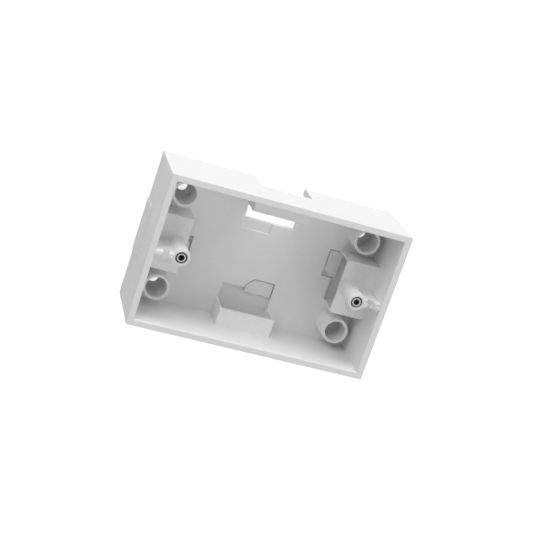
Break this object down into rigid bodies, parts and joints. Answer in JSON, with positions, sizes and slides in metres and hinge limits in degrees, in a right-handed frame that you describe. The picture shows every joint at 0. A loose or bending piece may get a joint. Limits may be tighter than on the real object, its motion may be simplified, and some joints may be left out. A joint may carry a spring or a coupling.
{
  "type": "surface mounting block",
  "caption": "Open moulded wall box for one wide faceplate, with hooded cable entries, wall screw pillars and faceplate screw posts with metal inserts.",
  "frame": {"origin": "centre of the box on the wall plane, in the middle of the wall screw pattern", "axes": "+X along the long side, +Y towards the wall with the broken-out entry, +Z out of the open front"},
  "size_m": [0.115, 0.0725, 0.038],
  "materials": {
    "moulded_plastic": "fine matt moulding",
    "insert_metal": "turned, dull"
  },
  "bodies": {
    "root": {"housing": "moulded_plastic", "left_insert": "insert_metal", "right_insert": "insert_metal"}
  },
  "joints": []
}
